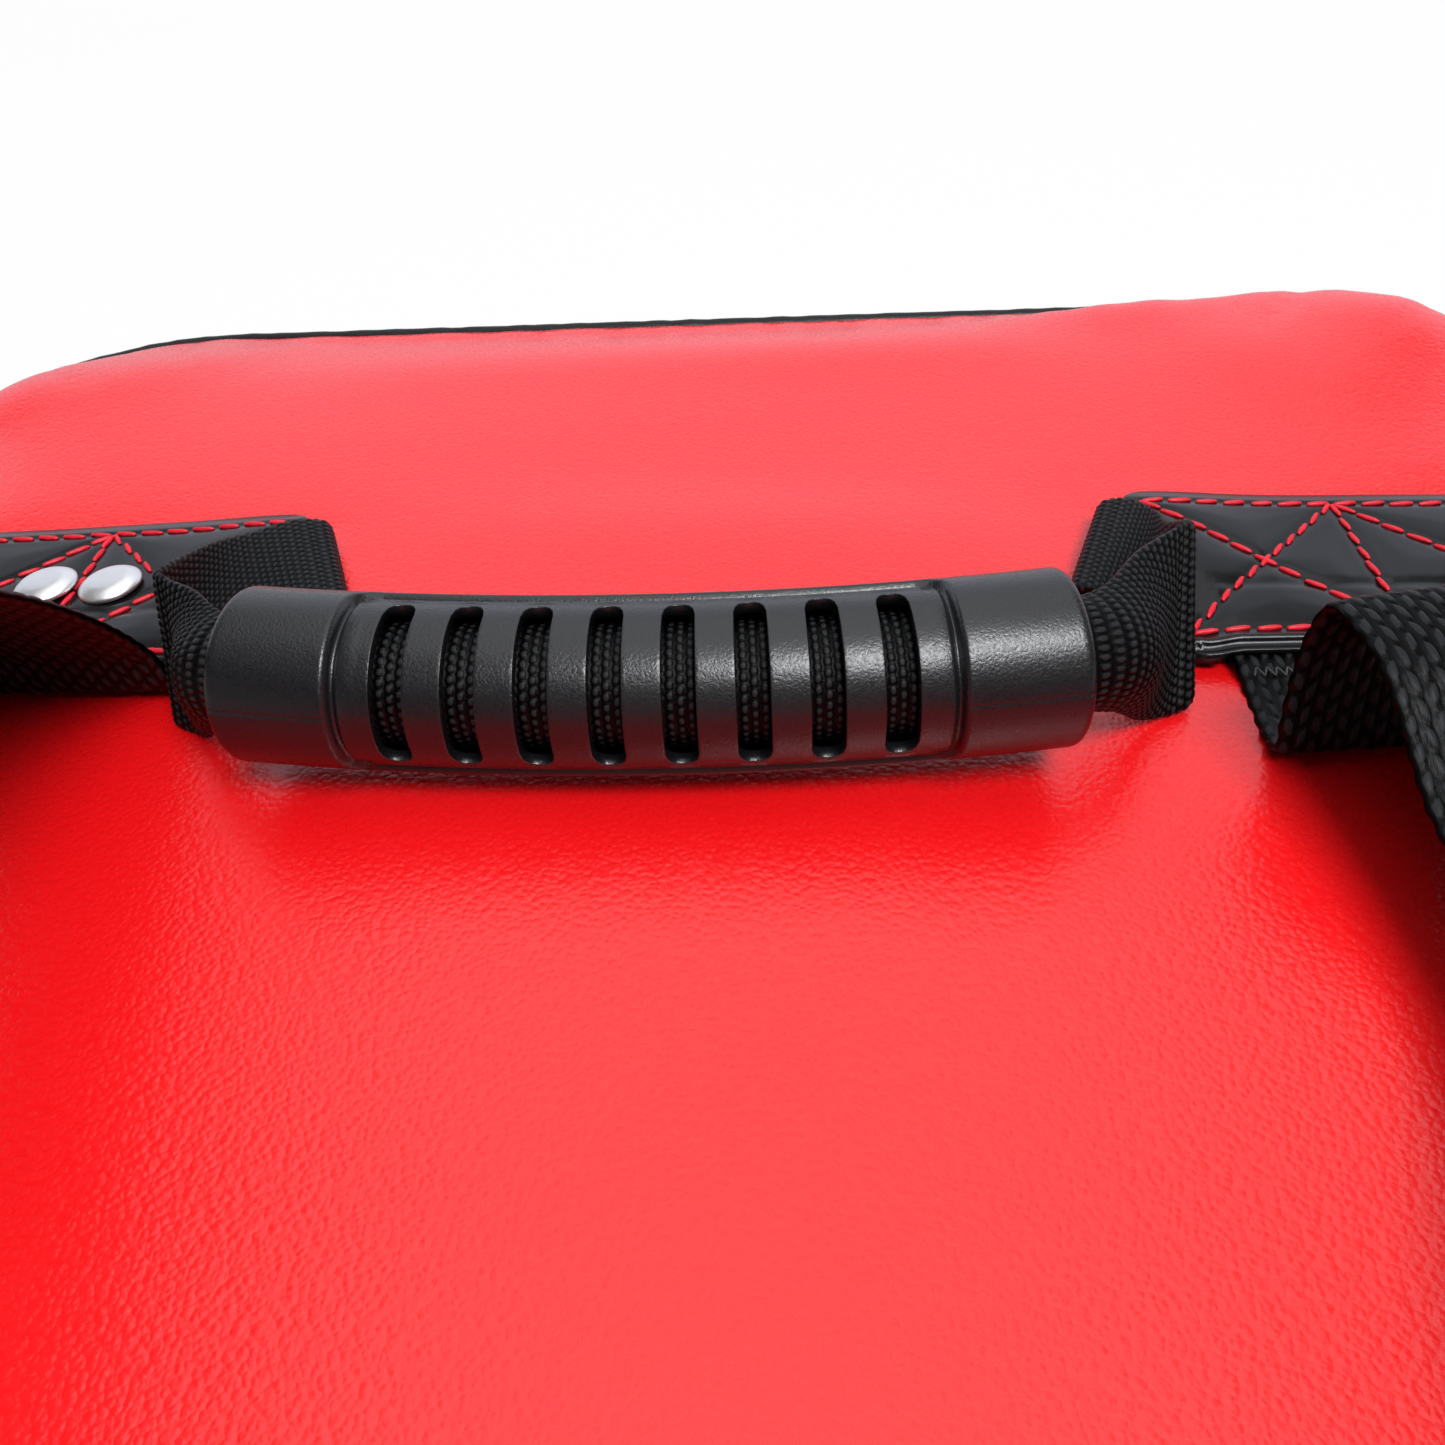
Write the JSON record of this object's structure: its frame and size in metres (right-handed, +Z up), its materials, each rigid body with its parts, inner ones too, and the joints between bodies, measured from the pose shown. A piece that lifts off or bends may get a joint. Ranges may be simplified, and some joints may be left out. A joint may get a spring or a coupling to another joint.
{
  "type": "padded kick shield",
  "caption": "Foam kick shield in red vinyl, shown back up, with black sewn patches, a folded webbing carry handle with a slotted plastic grip, domed rivets and webbing arm loops.",
  "frame": {"origin": "middle of the striking face, which lies on the floor", "axes": "+Z up out of the back panel, +Y along the pad toward the edge nearest the carry handle, +X to the right of someone looking along +Y"},
  "size_m": [0.4, 0.6, 0.2321],
  "materials": {
    "red_vinyl": "satin",
    "black_vinyl": "satin",
    "patch_vinyl": "satin",
    "piping_vinyl": "satin",
    "handle_web": "matte",
    "strap_web": "matte",
    "grip_plastic": "satin",
    "rivet_steel": "polished",
    "dense_foam": "matte",
    "soft_foam": "matte"
  },
  "bodies": {
    "pad": {"front_foam": "dense_foam", "middle_foam": "soft_foam", "back_foam": "dense_foam", "striking_panel": "red_vinyl", "side_gusset": "black_vinyl", "back_panel": "red_vinyl", "front_piping": "piping_vinyl", "back_piping": "piping_vinyl", "left_upper_base": "patch_vinyl", "right_upper_base": "patch_vinyl", "left_lower_base": "patch_vinyl", "right_lower_base": "patch_vinyl", "left_upper_patch": "patch_vinyl", "right_upper_patch": "patch_vinyl", "left_lower_patch": "patch_vinyl", "right_lower_patch": "patch_vinyl", "left_handle_tail": "handle_web", "right_handle_tail": "handle_web", "left_strap_top_tail": "strap_web", "left_strap_bottom_tail": "strap_web", "right_strap_top_tail": "strap_web", "right_strap_bottom_tail": "strap_web", "rivet_heads": "rivet_steel", "rivet_washers": "rivet_steel"},
    "handle": {"handle_webbing": "handle_web", "left_handle_fold": "handle_web", "right_handle_fold": "handle_web"},
    "grip": {"handle_grip": "grip_plastic"},
    "left_loop": {"left_arm_strap": "strap_web", "left_strap_top_root": "strap_web", "left_strap_bottom_root": "strap_web"},
    "right_loop": {"right_arm_strap": "strap_web", "right_strap_top_root": "strap_web", "right_strap_bottom_root": "strap_web"}
  },
  "joints": [
    {"name": "handle_swing", "type": "hinge", "parent": "pad", "child": "handle", "pos_m": [0, 0.165, 0.1523], "axis": [-1, 0, 0], "range_deg": [0, 150], "deforming": ["left_handle_fold", "right_handle_fold"]},
    {"name": "grip_slide", "type": "hinge", "parent": "handle", "child": "grip", "pos_m": [-0.006, 0.50723, 0.172], "axis": [0, 0, 1], "range_deg": [-0.9, 0.9]},
    {"name": "left_strap_swing", "type": "hinge", "parent": "pad", "child": "left_loop", "pos_m": [-0.118, 0, 0.1524], "axis": [0, 1, 0], "range_deg": [-50, 50], "deforming": ["left_strap_top_root", "left_strap_bottom_root"]},
    {"name": "right_strap_swing", "type": "hinge", "parent": "pad", "child": "right_loop", "pos_m": [0.118, 0, 0.1524], "axis": [0, 1, 0], "range_deg": [-30, 25], "deforming": ["right_strap_top_root", "right_strap_bottom_root"]}
  ]
}
